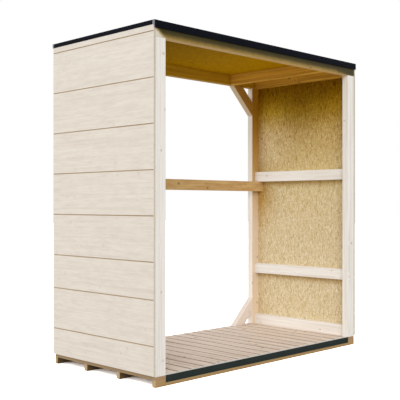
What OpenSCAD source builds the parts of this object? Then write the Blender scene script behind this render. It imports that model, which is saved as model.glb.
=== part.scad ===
// Open-fronted log store: two clad end walls on a slatted floor, under a flat roof.
// X runs along the width, -Y is the open front, Z is up, and the ground is at Z = 0.
// The origin is at the middle of the plan.

/* [Overall] */
// Width of the timber frame, outside face to outside face
frame_w = 1886; // [1500:1:2400]
// Depth of the timber frame, front face to rear face
frame_d = 938; // [750:1:1200]
// Height from the ground to the top of the roof edging
total_h = 1990; // [1600:1:2400]

/* [Framing timber] */
// Narrow side of the framing timber
timber_t = 47; // [38:1:60]
// Wide side of the framing timber
timber_w = 75; // [60:1:100]
// Depth of the roof timbers
roof_timber_h = 75; // [60:1:100]

/* [Floor] */
// Width of a floor bearer
bearer_w = 25; // [20:1:45]
// Height of a floor bearer
bearer_h = 40; // [30:1:70]
// Thickness of a floor slat
slat_t = 18; // [15:1:28]
// Number of floor slats
slat_count = 19; // [12:1:26]
// Gap between two floor slats
slat_gap = 9; // [5:1:15]

/* [Floor edge strip] */
// Thickness of the folded strip
strip_t = 2; // [1:0.5:4]
// Height of the strip's front leg, below the slats' top face
strip_leg_h = 38; // [25:1:50]
// Width of the strip's leg that lies on the slats
strip_top_w = 22; // [12:1:40]

/* [End walls] */
// Thickness of the inner strand board sheet
board_t = 8; // [6:1:18]
// Thickness of the outer grooved cladding
cladding_t = 6; // [5:1:20]
// Gap between the floor's top face and the lower edge of the wall sheets
wall_lift = 5; // [2:1:15]
// Height of one full course of cladding
course_h = 250; // [150:1:300]
// Height of the one narrower course
narrow_course_h = 205; // [120:1:290]
// Height of the lowest course
bottom_course_h = 162; // [80:1:250]
// Width of the groove between two courses, on the face
groove_w = 6; // [3:0.5:8]
// Height of the lower rail's underside above the ground
lower_rail_z = 455; // [250:1:600]
// Height of the middle rail's underside above the ground
mid_rail_z = 1169; // [900:1:1300]

/* [Rear braces] */
// Inner corner of an upper brace, along the post and along the beam
upper_brace_leg = 110; // [40:1:200]
// Inner corner of a lower brace, along the post and along the floor
lower_brace_leg = 95; // [40:1:200]

/* [Roof] */
// Distance from the frame's right face to the inner rafter's far face
inner_rafter_in = 330; // [150:1:600]
// Thickness of the roof deck sheet
deck_t = 9; // [9:1:22]
// Thickness of the roof covering
cover_t = 4; // [2:1:8]
// How far the deck stands out past the cladding at each end
deck_out_side = 0; // [0:1:20]
// How far the deck stands out past the frame at the front and the rear
deck_out_front = 5; // [0:1:40]
// Thickness of the metal roof edging
trim_t = 1.5; // [1:0.5:4]
// Width of the edging's leg that lies on the roof
trim_top_w = 60; // [30:1:100]
// Height of the metal edging along the front
front_trim_h = 42; // [25:1:80]
// Height of the metal edging along the rear
rear_trim_h = 26; // [15:1:80]
// Height of the metal edging on the two ends
side_trim_h = 26; // [15:1:80]

/* [Hidden] */

left = -1;
right = 1;
front = -1;
rear = 1;
bearer_gaps = 3;

half_w = frame_w / 2;
half_d = frame_d / 2;
floor_z = bearer_h + slat_t;
slat_w = (frame_w - (slat_count - 1) * slat_gap) / slat_count;
slat_pitch = slat_w + slat_gap;

cover_top_z = total_h - trim_t;
deck_z = cover_top_z - cover_t - deck_t;
frame_top_z = deck_z;
beam_z = frame_top_z - roof_timber_h;

wall_t = board_t + cladding_t;
wall_z = floor_z + wall_lift;
wall_h = deck_z - wall_z;
rail_len = frame_d - 2 * timber_t;
post_inner_x = half_w - timber_w;

deck_half_w = half_w + wall_t + deck_out_side;
deck_half_d = half_d + deck_out_front;
trim_half_w = deck_half_w + trim_t;
trim_half_d = deck_half_d + trim_t;

// The lowest course, a full one, the narrow one, and full ones from there to the roof
course_tops = [
    wall_z + bottom_course_h,
    wall_z + bottom_course_h + course_h,
    for (z = [wall_z + bottom_course_h + course_h + narrow_course_h : course_h : deck_z - groove_w]) z
];

pine = "Wheat";
planed_spruce = "BurlyWood";
painted_spruce = "AntiqueWhite";
strand_board = "Goldenrod";
slat_wood = "Tan";
edge_metal = "DarkSlateGray";
bitumen = "DimGray";

// A box from its lowest corner and its size
module block(corner, size) {
    translate(corner) cube(size);
}

// A box that lies against the plane x on the given side of it, inside the frame
module against_side(side, x, thickness, y, z, length, height) {
    block([side == right ? x - thickness : -x, y, z], [thickness, length, height]);
}

// Floor: four bearers along the width, and slats across them
module bearer(index) {
    y = -half_d + index * (frame_d - bearer_w) / bearer_gaps;
    color(pine) block([-half_w, y, 0], [frame_w, bearer_w, bearer_h]);
}

module floor_slats() {
    color(slat_wood)
        for (i = [0 : slat_count - 1])
            block([-half_w + i * slat_pitch, -half_d, bearer_h], [slat_w, frame_d, slat_t]);
}

// Angle strip that caps the slats' front ends between the posts
module front_floor_strip() {
    color(edge_metal) {
        block([-post_inner_x, -half_d - strip_t, floor_z - strip_leg_h],
              [2 * post_inner_x, strip_t, strip_leg_h + strip_t]);
        block([-post_inner_x, -half_d, floor_z], [2 * post_inner_x, strip_top_w - strip_t, strip_t]);
    }
}

// Corner posts stand on the slats, wide side to the front
module post(side, end) {
    color(painted_spruce)
        against_side(side, half_w, timber_w, end == front ? -half_d : half_d - timber_t,
                     floor_z, timber_t, beam_z - floor_z);
}

// Wall rails run between the front and the rear post, against the sheet
module wall_rail(side, z) {
    color(painted_spruce)
        against_side(side, half_w, timber_t, -rail_len / 2, z, rail_len, timber_w);
}

module strand_board_sheet(side) {
    color(strand_board)
        against_side(side, half_w + board_t, board_t, -half_d, wall_z, frame_d, wall_h);
}

// Cladding with a V groove where two courses meet
module cladding(side) {
    face_x = half_w + wall_t;
    groove_side = groove_w / sqrt(2);
    color(painted_spruce)
        difference() {
            against_side(side, face_x, cladding_t, -half_d, wall_z, frame_d, wall_h);
            for (z = course_tops)
                translate([side * face_x, 0, z])
                    rotate([0, 45, 0])
                        cube([groove_side, 2 * frame_d, groove_side], center = true);
        }
}

// Rail across the open back, on the inner faces of the rear posts, right below the wall rails
module rear_mid_rail() {
    color(planed_spruce)
        block([-half_w, half_d - 2 * timber_t, mid_rail_z - timber_w], [frame_w, timber_t, timber_w]);
}

// Mitred knee brace in the corner between a post and the beam or the floor.
// The outline is drawn with the corner at its origin and then turned into place.
module brace(side, upper) {
    inner = upper ? upper_brace_leg : lower_brace_leg;
    outer = inner + timber_w * sqrt(2);
    color(planed_spruce)
        translate([side * post_inner_x, half_d, upper ? beam_z : floor_z])
            rotate([90, 0, 0])
                linear_extrude(timber_t)
                    scale([-side, upper ? -1 : 1])
                        polygon([[inner, 0], [outer, 0], [0, outer], [0, inner]]);
}

// Roof frame: beams over the posts, rafters between the beams
module beam(end) {
    color(planed_spruce)
        block([-half_w, end == front ? -half_d : half_d - timber_t, beam_z],
              [frame_w, timber_t, roof_timber_h]);
}

module rafter(x) {
    color(planed_spruce)
        block([x, -rail_len / 2, beam_z], [timber_t, rail_len, roof_timber_h]);
}

module roof_sheet(z, thickness) {
    block([-deck_half_w, -deck_half_d, z], [2 * deck_half_w, 2 * deck_half_d, thickness]);
}

module roof_deck() {
    color(strand_board) roof_sheet(deck_z, deck_t);
}

module roof_cover() {
    color(bitumen) roof_sheet(deck_z + deck_t, cover_t);
}

// Folded edging along the front or the rear, over the whole width
module long_trim(end) {
    face_h = end == front ? front_trim_h : rear_trim_h;
    color(edge_metal)
        mirror([0, end == rear ? 1 : 0, 0]) {
            block([-trim_half_w, -trim_half_d, total_h - face_h],
                  [2 * trim_half_w, trim_t, face_h]);
            block([-trim_half_w, -deck_half_d, cover_top_z],
                  [2 * trim_half_w, trim_top_w - trim_t, trim_t]);
        }
}

// Folded edging along one end, fitted under and between the long ones
module end_trim(side) {
    top_len = 2 * (trim_half_d - trim_top_w);
    color(edge_metal)
        mirror([side == right ? 1 : 0, 0, 0]) {
            block([-trim_half_w, -deck_half_d, total_h - side_trim_h],
                  [trim_t, 2 * deck_half_d, side_trim_h - trim_t]);
            block([-trim_half_w, -top_len / 2, cover_top_z], [trim_top_w, top_len, trim_t]);
        }
}

bearer(0);  // front_bearer
bearer(1);  // mid_bearer_front
bearer(2);  // mid_bearer_rear
bearer(3);  // rear_bearer
floor_slats();
front_floor_strip();
post(left, front);  // front_post_left
post(right, front);  // front_post_right
post(left, rear);  // rear_post_left
post(right, rear);  // rear_post_right
wall_rail(left, floor_z);  // left_bottom_rail
wall_rail(left, lower_rail_z);  // left_lower_rail
wall_rail(left, mid_rail_z);  // left_mid_rail
wall_rail(right, floor_z);  // right_bottom_rail
wall_rail(right, lower_rail_z);  // right_lower_rail
wall_rail(right, mid_rail_z);  // right_mid_rail
strand_board_sheet(left);  // left_strand_board
strand_board_sheet(right);  // right_strand_board
cladding(left);  // left_cladding
cladding(right);  // right_cladding
rear_mid_rail();
brace(left, true);  // upper_brace_left
brace(right, true);  // upper_brace_right
brace(left, false);  // lower_brace_left
brace(right, false);  // lower_brace_right
beam(front);  // front_beam
beam(rear);  // rear_beam
rafter(-half_w);  // left_rafter
rafter(half_w - timber_t);  // right_rafter
rafter(half_w - inner_rafter_in);  // inner_rafter
roof_deck();
roof_cover();
long_trim(front);  // front_roof_trim
long_trim(rear);  // rear_roof_trim
end_trim(left);  // left_roof_trim
end_trim(right);  // right_roof_trim
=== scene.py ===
"""An open-fronted log store, with a slatted floor, clad end walls, a braced open back and a flat roof."""

import bmesh
import bpy
import math
import random
from mathutils import Matrix, Vector


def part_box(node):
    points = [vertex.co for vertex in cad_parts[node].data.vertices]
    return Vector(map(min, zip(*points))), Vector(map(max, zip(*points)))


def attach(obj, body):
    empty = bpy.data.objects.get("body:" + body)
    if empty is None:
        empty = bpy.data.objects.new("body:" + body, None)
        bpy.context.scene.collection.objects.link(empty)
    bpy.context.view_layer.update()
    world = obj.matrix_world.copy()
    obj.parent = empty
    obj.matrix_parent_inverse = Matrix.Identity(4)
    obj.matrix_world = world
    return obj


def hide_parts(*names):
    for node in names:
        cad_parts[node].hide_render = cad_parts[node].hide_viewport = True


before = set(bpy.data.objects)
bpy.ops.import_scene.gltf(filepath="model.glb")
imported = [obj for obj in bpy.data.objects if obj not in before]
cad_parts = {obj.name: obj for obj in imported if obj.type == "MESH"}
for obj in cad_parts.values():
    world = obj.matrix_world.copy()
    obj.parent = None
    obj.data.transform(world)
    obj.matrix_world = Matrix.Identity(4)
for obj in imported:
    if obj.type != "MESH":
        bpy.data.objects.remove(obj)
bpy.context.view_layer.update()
scene = bpy.context.scene


# ---- Camera ----
# A long lens, level with the middle of the store, looks at its front left corner along the
# diagonal, so that the open front and the left end wall both show.
EYE = Vector((-3.761, -3.627, 0.996))
EYE_TURN = math.radians(-45)
LENS_MM = 70.46
FILM_MM = 36
HORIZON_DROP = 0.0094  # the level line sits this share of the frame below the middle

camera_data = bpy.data.cameras.new("camera")
camera_data.sensor_width = FILM_MM
camera_data.lens = LENS_MM
camera_data.shift_y = HORIZON_DROP
camera = bpy.data.objects.new("camera", camera_data)
camera.location = EYE
camera.rotation_euler = (math.radians(90), 0, EYE_TURN)
scene.collection.objects.link(camera)
scene.camera = camera
scene.view_settings.view_transform = "Standard"


# ---- Studio ----
# An even pale room, with broad lamps from the left, ahead of the store and behind it, and a low one
# from the right. The floor gives back the light of pale card, but looks white to the eye wherever
# the store doesn't shade it.
ROOM_LIGHT = 0.60
LAMPS = (  # name, strength, spread in degrees, and the direction that it shines from
    ("broad_lamp_front", 1.45, 36, Vector((-0.66, -0.68, 0.48))),
    ("broad_lamp_rear", 0.85, 60, Vector((-0.66, 0.66, 0.36))),
    ("broad_lamp_right", 0.9, 20, Vector((0.98, 0.05, 0.2))),
)
FLOOR_SIZE = 60  # metres
FLOOR_TONE = 0xC8C6C2
FLOOR_WHITE = 2.7  # how much whiter than chalk the lit floor looks to the eye


def linear(code):
    """The colour that an sRGB hex value such as 0xC8B49A stands for, as linear RGBA."""
    parts = [(code >> shift & 255) / 255 for shift in (16, 8, 0)]
    return (*[c / 12.92 if c <= 0.04045 else ((c + 0.055) / 1.055) ** 2.4 for c in parts], 1)


def add(tree, kind, settings=None):
    """Adds a node and gives it its settings: fields by name, and sockets by name or number. A setting
    that is a socket of another node is linked, and a node stands for the first socket that it shows.
    By number, Mix has its share at 0 and its colours at 6 and 7, and Map Range has its value at 0,
    from at 1 and 2, and to at 3 and 4."""
    node = tree.nodes.new("ShaderNode" + kind)
    for key, value in (settings or {}).items():
        if isinstance(value, bpy.types.Node):
            value = next(output for output in value.outputs if output.enabled)
        if isinstance(value, bpy.types.NodeSocket):
            tree.links.new(value, node.inputs[key])
        elif key == "stops":
            while len(node.color_ramp.elements) < len(value):
                node.color_ramp.elements.new(1)
            for element, (place, colour) in zip(node.color_ramp.elements, value):
                element.position = place
                element.color = colour
        elif isinstance(key, int) or key in node.inputs:
            node.inputs[key].default_value = value
        else:
            setattr(node, key, value)
    return node


world = bpy.data.worlds.new("studio_room")
scene.world = world
world.use_nodes = True
room = world.node_tree
room.nodes.clear()
sight = add(room, "LightPath")
straight = add(room, "Math", {"operation": "MAXIMUM", 0: sight.outputs["Is Camera Ray"],
                              1: sight.outputs["Is Transmission Ray"]})
seen = add(room, "Math", {"operation": "MAXIMUM", 0: straight, 1: sight.outputs["Is Glossy Ray"]})
lit_room = add(room, "Background", {"Color": (1, 1, 1, 1), "Strength": ROOM_LIGHT})
white_room = add(room, "Background", {"Color": (1, 1, 1, 1), "Strength": 1})
room_mix = add(room, "MixShader", {0: seen, 1: lit_room, 2: white_room})
add(room, "OutputWorld", {"Surface": room_mix})

for name, strength, spread, shines_from in LAMPS:
    lamp_data = bpy.data.lights.new(name, "SUN")
    lamp_data.energy = strength
    lamp_data.angle = math.radians(spread)
    lamp = bpy.data.objects.new(name, lamp_data)
    lamp.rotation_mode = "QUATERNION"
    lamp.rotation_quaternion = shines_from.to_track_quat("Z", "Y")
    scene.collection.objects.link(lamp)

floor_mesh = bmesh.new()
bmesh.ops.create_grid(floor_mesh, x_segments=1, y_segments=1, size=FLOOR_SIZE / 2)
floor_data = bpy.data.meshes.new("studio_floor")
floor_mesh.to_mesh(floor_data)
floor_mesh.free()
studio_floor = bpy.data.objects.new("studio_floor", floor_data)
scene.collection.objects.link(studio_floor)

# Matt pale card: it gives back an even warm grey light and has no gloss.
floor_paint = bpy.data.materials.new("pale_studio_card")
floor_paint.use_nodes = True
tree = floor_paint.node_tree
tree.nodes.clear()
sight = add(tree, "LightPath")
matt = add(tree, "BsdfDiffuse", {"Color": linear(FLOOR_TONE)})
white = add(tree, "BsdfDiffuse", {"Color": (FLOOR_WHITE, FLOOR_WHITE, FLOOR_WHITE, 1)})
floor_mix = add(tree, "MixShader", {0: sight.outputs["Is Camera Ray"], 1: matt, 2: white})
add(tree, "OutputMaterial", {"Surface": floor_mix})
floor_data.materials.append(floor_paint)


# ---- Floor bearers ----
# Four sawn spruce battens lie on the ground under the whole width and carry the floor. They are left
# as they come off the band saw, so they keep its fine cross marks and their edges are sharp.
MM = 0.001
X_AXIS, Y_AXIS, Z_AXIS = Vector((1, 0, 0)), Vector((0, 1, 0)), Vector((0, 0, 1))
SAWN_EASE = 0.8 * MM
PITH_REACH = (30, 80)  # mm from a timber's middle to the pith of its tree
TRUNK_REACH = 20  # metres up and down the trunk, from which each timber gets its own place


def start_piece():
    """A new empty mesh whose points also hold their place in the tree that the wood grew in."""
    shape = bmesh.new()
    shape.verts.layers.float_vector.new("grain")
    return shape


def give_grain(shape, points, along, across, centre, luck):
    """Puts a timber's points somewhere in a tree, with X up the trunk and the pith beside the timber."""
    grain = shape.verts.layers.float_vector["grain"]
    third = along.cross(across)
    turn, reach = luck.uniform(0, 2 * math.pi), luck.uniform(*PITH_REACH) * MM
    height = luck.uniform(-TRUNK_REACH, TRUNK_REACH)
    start = Vector((height, reach * math.cos(turn), reach * math.sin(turn)))
    for point in points:
        offset = point.co - centre
        point[grain] = start + Vector((offset.dot(along), offset.dot(across), offset.dot(third)))


def lay_timber(shape, low, high, along, ease, luck, segments=2):
    """Adds one timber with eased edges to a piece, filling the box from low to high."""
    before = set(shape.verts)
    cube = bmesh.ops.create_cube(shape, size=1)["verts"]
    centre = (low + high) / 2
    bmesh.ops.scale(shape, vec=high - low, verts=cube)
    bmesh.ops.translate(shape, vec=centre, verts=cube)
    edges = list({edge for vert in cube for edge in vert.link_edges})
    bmesh.ops.bevel(shape, geom=edges, offset=ease, affect="EDGES", segments=segments, profile=0.5,
                    material=-1)
    across = Z_AXIS if abs(along.z) < 0.5 else X_AXIS
    give_grain(shape, [v for v in shape.verts if v not in before], along, across, centre, luck)


def finish_piece(shape, name, nodes, materials, smooth_angle=None):
    """Turns the mesh into a piece that rides on the body and stands for the CAD nodes that it replaces."""
    data = bpy.data.meshes.new(name)
    bmesh.ops.recalc_face_normals(shape, faces=shape.faces)
    shape.to_mesh(data)
    shape.free()
    for material in materials:
        data.materials.append(material)
    piece = bpy.data.objects.new(name, data)
    scene.collection.objects.link(piece)
    if smooth_angle:
        data.shade_smooth()
        data.set_sharp_from_angle(angle=smooth_angle)
    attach(piece, "root")
    if nodes:
        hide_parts(*nodes)


# Spruce's own sizes, as so many to the metre along the fibres and across them
TONE_SCALE = (1.1, 9, 9)  # slow changes of tone, 900 mm long and 110 mm wide
FIBRE_SCALE = (14, 620, 620)  # bundles of fibres, 70 mm long and 1.6 mm wide
STREAK_SCALE = (1.6, 46, 46)  # streaks, 600 mm long and 22 mm wide
BLOTCH_SCALE = (9, 40, 40)  # blotches in a stain, 110 mm long and 25 mm wide
KNOT_SCALE = 9  # at most one knot in every 110 mm, but few of them reach the surface
KNOT_RIM = (0.115, 0.085)  # of that space, where a knot starts and where it is full
KNOT_SWIRL = (0.34, 0.06, 9 * MM)  # where the rings start to bend round it and stop, and how far they bend
RING_WAVE = 22 * MM  # how far the rings wander from a circle
UNEVEN_YEARS = 1.6  # by how many rings the years' growth differs
YEAR_BANDS = ((0, (0, 0, 0, 1)), (0.45, (0.1, 0.1, 0.1, 1)),  # from the pale early wood of a year
              (0.86, (1, 1, 1, 1)), (1, (0, 0, 0, 1)))  # to its dark late wood, which stops sharply
STREAKS_FROM = (0.46, 0.74)  # of the noise, where a dark streak starts and where it is full
PALE_FROM, PALE_SHARE = (0.5, 0.24), 0.3  # the same for the pale ones
FIBRE_TONES = (0.94, 1.05)
KNOT_CORE = (0.1, 0.02)  # where a knot's dark heart starts and where it is full, as for its rim
KNOT_RIM_SHARE = 0.55
BLOTCH_FROM = (0.44, 0.68)
FACING_TONE_SHARE = 0.8
LATE_GLOSS = 0.1  # how much smoother the harder late wood is
FIBRE_RELIEF = 0.35 * MM
SAW_RELIEF, SAW_STRENGTH = 0.3 * MM, 0.35
WAVE_UNIT = 3.18  # the wave texture's bands to a unit of its scale

# Settings that repeat: two colours blended, a colour multiplied by another, and a change with soft ends
BLEND = {"data_type": "RGBA"}
TINTED = {"data_type": "RGBA", "blend_type": "MULTIPLY"}
SMOOTH = {"interpolation_type": "SMOOTHSTEP"}


def grow_spruce(tree, ring_mm):
    """Spruce wood as it grows: yearly rings round the pith, long fibres, knots and slow changes of tone."""
    place = add(tree, "Attribute", {"attribute_name": "grain"}).outputs["Vector"]
    slow = add(tree, "Mapping", {"Scale": TONE_SCALE, "Vector": place})
    wander = add(tree, "TexNoise", {"Scale": 1, "Detail": 2, "Roughness": 0.4, "Vector": slow})
    knot_cells = add(tree, "TexVoronoi", {"Scale": KNOT_SCALE, "Vector": place})
    knot = add(tree, "MapRange", {**SMOOTH, 0: knot_cells.outputs["Distance"], 1: KNOT_RIM[0],
                                  2: KNOT_RIM[1]})
    swirl = add(tree, "MapRange", {**SMOOTH, 0: knot_cells.outputs["Distance"], 1: KNOT_SWIRL[0],
                                   2: KNOT_SWIRL[1], 4: KNOT_SWIRL[2]})
    parts = add(tree, "SeparateXYZ", {0: place})
    flat = add(tree, "CombineXYZ", {0: parts.outputs["Y"], 1: parts.outputs["Z"]})
    reach = add(tree, "VectorMath", {"operation": "LENGTH", 0: flat})
    waved = add(tree, "Math", {"operation": "MULTIPLY_ADD", 0: wander, 1: RING_WAVE,
                               2: reach.outputs["Value"]})
    pushed = add(tree, "Math", {"operation": "ADD", 0: waved, 1: swirl})
    years = add(tree, "Math", {"operation": "DIVIDE", 0: pushed, 1: ring_mm * MM})
    uneven = add(tree, "TexNoise", {"noise_dimensions": "1D", "Scale": 0.7, "Detail": 1, "W": years})
    dated = add(tree, "Math", {"operation": "MULTIPLY_ADD", 0: uneven, 1: UNEVEN_YEARS, 2: years})
    season = add(tree, "Math", {"operation": "FRACT", 0: dated})
    rings = add(tree, "ValToRGB", {"stops": YEAR_BANDS, 0: season})
    long = add(tree, "Mapping", {"Scale": FIBRE_SCALE, "Vector": place})
    fibres = add(tree, "TexNoise", {"Scale": 1, "Detail": 3, "Roughness": 0.65, "Vector": long})
    streak = add(tree, "Mapping", {"Scale": STREAK_SCALE, "Vector": place})
    streaks = add(tree, "TexNoise", {"Scale": 1, "Detail": 4, "Roughness": 0.6, "Vector": streak})
    return {"place": place, "rings": rings, "fibres": fibres, "streaks": streaks, "knot": knot,
            "knot_distance": knot_cells.outputs["Distance"]}


def new_material(name):
    """An empty node material, ready for its shader."""
    material = bpy.data.materials.new(name)
    material.use_nodes = True
    material.node_tree.nodes.clear()
    return material, material.node_tree


def facing_share(tree, axis, from_share=0.3, to_share=0.5, both_ways=True):
    """How far a face looks along an axis, from the first share of fully to the second."""
    facing = add(tree, "SeparateXYZ", {0: add(tree, "NewGeometry").outputs["Normal"]})
    turned = facing.outputs[axis]
    if both_ways:
        turned = add(tree, "Math", {"operation": "ABSOLUTE", 0: turned})
    return add(tree, "MapRange", {0: turned, 1: from_share, 2: to_share})


def spruce(name, early, late, knot_heart, streak_tone, ring_mm=2.6, ring_share=0.55, streak_share=0.35,
           knot_share=0.9, roughness=0.62, saw_mm=None, relief=0.25, mottle=0, facing_tones=None, finish=None):
    """Spruce with its early and late wood, streaks and knots, planed, or sawn where saw_mm is given.
    ring_mm is a year's growth. mottle is how blotchily a stain has taken. facing_tones gives the faces
    that look along an axis another tone: here painted light on the bearers' ends, painted shade on the
    slats' sides, and brown on the slats' ends. finish is a last change to the colour."""
    material, tree = new_material(name)
    wood = grow_spruce(tree, ring_mm)
    ring_mask = add(tree, "Mix", {**TINTED, 0: 1, 6: wood["rings"], 7: (ring_share,) * 3 + (1,)})
    colour = add(tree, "Mix", {**BLEND, 0: ring_mask, 6: linear(early), 7: linear(late)})
    streak_mask = add(tree, "MapRange", {0: wood["streaks"], 1: STREAKS_FROM[0], 2: STREAKS_FROM[1],
                                         4: streak_share})
    colour = add(tree, "Mix", {**BLEND, 0: streak_mask, 6: colour, 7: linear(streak_tone)})
    pale_mask = add(tree, "MapRange", {0: wood["streaks"], 1: PALE_FROM[0], 2: PALE_FROM[1], 4: PALE_SHARE})
    colour = add(tree, "Mix", {**BLEND, 0: pale_mask, 6: colour, 7: linear(early)})
    fibre_mask = add(tree, "MapRange", {0: wood["fibres"], 1: 0.3, 2: 0.75, 3: FIBRE_TONES[0],
                                        4: FIBRE_TONES[1]})
    colour = add(tree, "Mix", {**TINTED, 0: 1, 6: colour, 7: fibre_mask})
    heart = add(tree, "MapRange", {0: wood["knot_distance"], 1: KNOT_CORE[0], 2: KNOT_CORE[1],
                                   3: KNOT_RIM_SHARE})
    knot_mask = add(tree, "Math", {"operation": "MULTIPLY", 0: wood["knot"], 1: heart})
    knot_mask = add(tree, "Math", {"operation": "MULTIPLY", 0: knot_mask, 1: knot_share})
    colour = add(tree, "Mix", {**BLEND, 0: knot_mask, 6: colour, 7: linear(knot_heart)})
    if mottle:
        wide = add(tree, "Mapping", {"Scale": BLOTCH_SCALE, "Vector": wood["place"]})
        clouds = add(tree, "TexNoise", {"Scale": 1, "Detail": 6, "Roughness": 0.7, "Vector": wide})
        patch = add(tree, "MapRange", {0: clouds, 1: BLOTCH_FROM[0], 2: BLOTCH_FROM[1], 4: mottle})
        colour = add(tree, "Mix", {**BLEND, 0: patch, 6: colour, 7: linear(streak_tone)})
    # Faces along an axis get their own tone: painted light on bearers' ends, painted shade on slats' sides
    for axis, tone in (facing_tones or {}).items():
        rough = add(tree, "Mix", {**BLEND, 0: FACING_TONE_SHARE, 6: colour, 7: linear(tone)})
        colour = add(tree, "Mix", {**BLEND, 0: facing_share(tree, axis), 6: colour, 7: rough})
    if finish:
        colour = finish(tree, colour)
    height = add(tree, "Math", {"operation": "MULTIPLY_ADD", 0: wood["fibres"], 1: 0.5, 2: wood["rings"]})
    bump = add(tree, "Bump", {"Strength": relief, "Distance": FIBRE_RELIEF, "Height": height})
    if saw_mm:
        blade = add(tree, "TexWave", {"wave_type": "BANDS", "bands_direction": "X", "wave_profile": "SIN",
                                      "Scale": 1 / (saw_mm * MM * WAVE_UNIT), "Distortion": 1.2, "Detail": 2,
                                      "Detail Scale": 0.4, "Vector": wood["place"]})
        bump = add(tree, "Bump", {"Strength": SAW_STRENGTH, "Distance": SAW_RELIEF,
                                  "Height": blade.outputs["Fac"], "Normal": bump})
    gloss = add(tree, "MapRange", {0: wood["rings"], 3: roughness, 4: roughness - LATE_GLOSS})
    shader = add(tree, "BsdfPrincipled", {"IOR": 1.5, "Specular IOR Level": 0.2, "Base Color": colour,
                                          "Roughness": gloss, "Normal": bump})
    add(tree, "OutputMaterial", {"Surface": shader})
    return material


LOOKS_FORWARD = {"axis": "Y", "from_share": -0.35, "to_share": -0.65, "both_ways": False}
# Painted shade on the forward faces of the bearers under the floor: its tone and share
UNDERFLOOR_SHADE_TONE = 0x2E1E0A
UNDERFLOOR_SHADE_SHARE = 0.8


def painted_underfloor_shade(tree, colour):
    """Painted shade: under the floor the faces that look forward are painted dark brown."""
    shaded_tone = add(tree, "Mix", {**BLEND, 0: UNDERFLOOR_SHADE_SHARE, 6: colour, 7: linear(UNDERFLOOR_SHADE_TONE)})
    return add(tree, "Mix", {**BLEND, 0: facing_share(tree, **LOOKS_FORWARD), 6: colour, 7: shaded_tone})


# Sawn spruce, untreated: dull honey with torn fibres, and band saw marks about 3 mm apart, drawn at
# 5 mm so that they show. Its cut ends are painted paler, as painted light.
sawn_spruce = spruce("sawn_spruce", 0xBE9E6E, 0x93703F, 0x5A3A1E, 0x8A693F, ring_mm=3.2, roughness=0.8,
                     saw_mm=5, relief=0.5, facing_tones={"X": 0xC4AA80})

# The same sawn spruce behind the front bearer, paler all over as painted light on the cut ends, and
# with painted shade, dark brown, on the faces that look forward under the floor.
underfloor_spruce = spruce("underfloor_shaded_sawn_spruce", 0xC9AE84, 0x9C7C50, 0x5A3A1E, 0x8E6E46, ring_mm=3.2,
                     roughness=0.8, saw_mm=5, relief=0.5, finish=painted_underfloor_shade)
BEARERS = {"front_bearer": sawn_spruce, "mid_bearer_front": underfloor_spruce, "mid_bearer_rear": underfloor_spruce,
           "rear_bearer": underfloor_spruce}
for name, wood in BEARERS.items():
    shape = start_piece()
    lay_timber(shape, *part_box(name), X_AXIS, SAWN_EASE, random.Random(name))
    finish_piece(shape, name + "_batten", [name], [wood])


# ---- Floor slats ----
# Nineteen planed spruce slats run from front to rear with a finger's gap between them. Their long
# edges are rounded by the planer, and two small nails hold each one on every bearer.
SLAT_COUNT = 19
SLAT_GAP = 9 * MM
SLAT_ROUND = 1.8 * MM
SLAT_SEED = 100
# The sides' painted shade of the gaps, the ends' brown, and the outermost sides' painted light
SLAT_GAP_SHADE, SLAT_END, SLAT_OUTSIDE = 0x63421F, 0x9E733C, 0xA88D68
OUTSIDE_SHARE = 0.85
NAIL_HEAD, NAIL_RISE = 1.8 * MM, 0.25 * MM  # radius, and height over the wood
NAIL_SIDES = 10
NAIL_TAPER = 0.8  # the top of a head to its foot
SLAT_NAIL_IN = 22 * MM  # either side of a slat's middle
SPECK_SCALE = 900  # specks of about 1 mm


def paler_outside(tree, colour):
    """The two outermost sides get light, so they are paler than the sides in the gaps."""
    place = add(tree, "SeparateXYZ", {0: add(tree, "TexCoord").outputs["Object"]})
    reach = add(tree, "Math", {"operation": "ABSOLUTE", 0: place.outputs["X"]})
    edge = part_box("floor_slats")[1].x
    outside = add(tree, "MapRange", {0: reach, 1: edge - SLAT_ROUND, 2: edge - 0.2 * MM, 4: OUTSIDE_SHARE})
    return add(tree, "Mix", {**BLEND, 0: outside, 6: colour, 7: linear(SLAT_OUTSIDE)})


def speckled(tree, dark, light):
    """Fine specks between two tones, as their mask and their colour."""
    place = add(tree, "TexCoord").outputs["Object"]
    speckle = add(tree, "TexNoise", {"Scale": SPECK_SCALE, "Detail": 2, "Vector": place})
    tint = add(tree, "ValToRGB", {"stops": [(0.3, linear(dark)), (0.7, linear(light))], 0: speckle})
    return speckle, tint


def drive_nail(shape, point, outward, radius=NAIL_HEAD, rise=NAIL_RISE):
    """Adds a nail head at a point of a surface, facing outward. Its lower half is sunk in the wood."""
    turn = outward.to_track_quat("Z", "Y").to_matrix().to_4x4()
    bmesh.ops.create_cone(shape, cap_ends=True, segments=NAIL_SIDES, radius1=radius,
                          radius2=radius * NAIL_TAPER, depth=2 * rise,
                          matrix=Matrix.Translation(point) @ turn)


# Planed spruce, bare and a little weathered: pinkish beige on top, with soft rings and few knots, and
# brown on the ends. Its sides are painted dark brown: painted shade in the gaps between the slats.
slat_spruce = spruce("planed_slat_spruce", 0xF6E9DD, 0xC8AA94, 0x7E5A40, 0xB89C86, ring_mm=3.5,
                     ring_share=0.65, streak_share=0.7, roughness=0.6,
                     facing_tones={"X": SLAT_GAP_SHADE, "Y": SLAT_END}, finish=paler_outside)

# Zinc-plated steel wire nails: small dull grey discs with a dim metal shine.
zinc_nail, tree = new_material("zinc_plated_nail")
speckle, tint = speckled(tree, 0x8F8D88, 0xC3C0BA)
rough = add(tree, "MapRange", {0: speckle, 1: 0.3, 2: 0.7, 3: 0.35, 4: 0.55})
shader = add(tree, "BsdfPrincipled", {"Metallic": 1, "Base Color": tint, "Roughness": rough})
add(tree, "OutputMaterial", {"Surface": shader})

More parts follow.
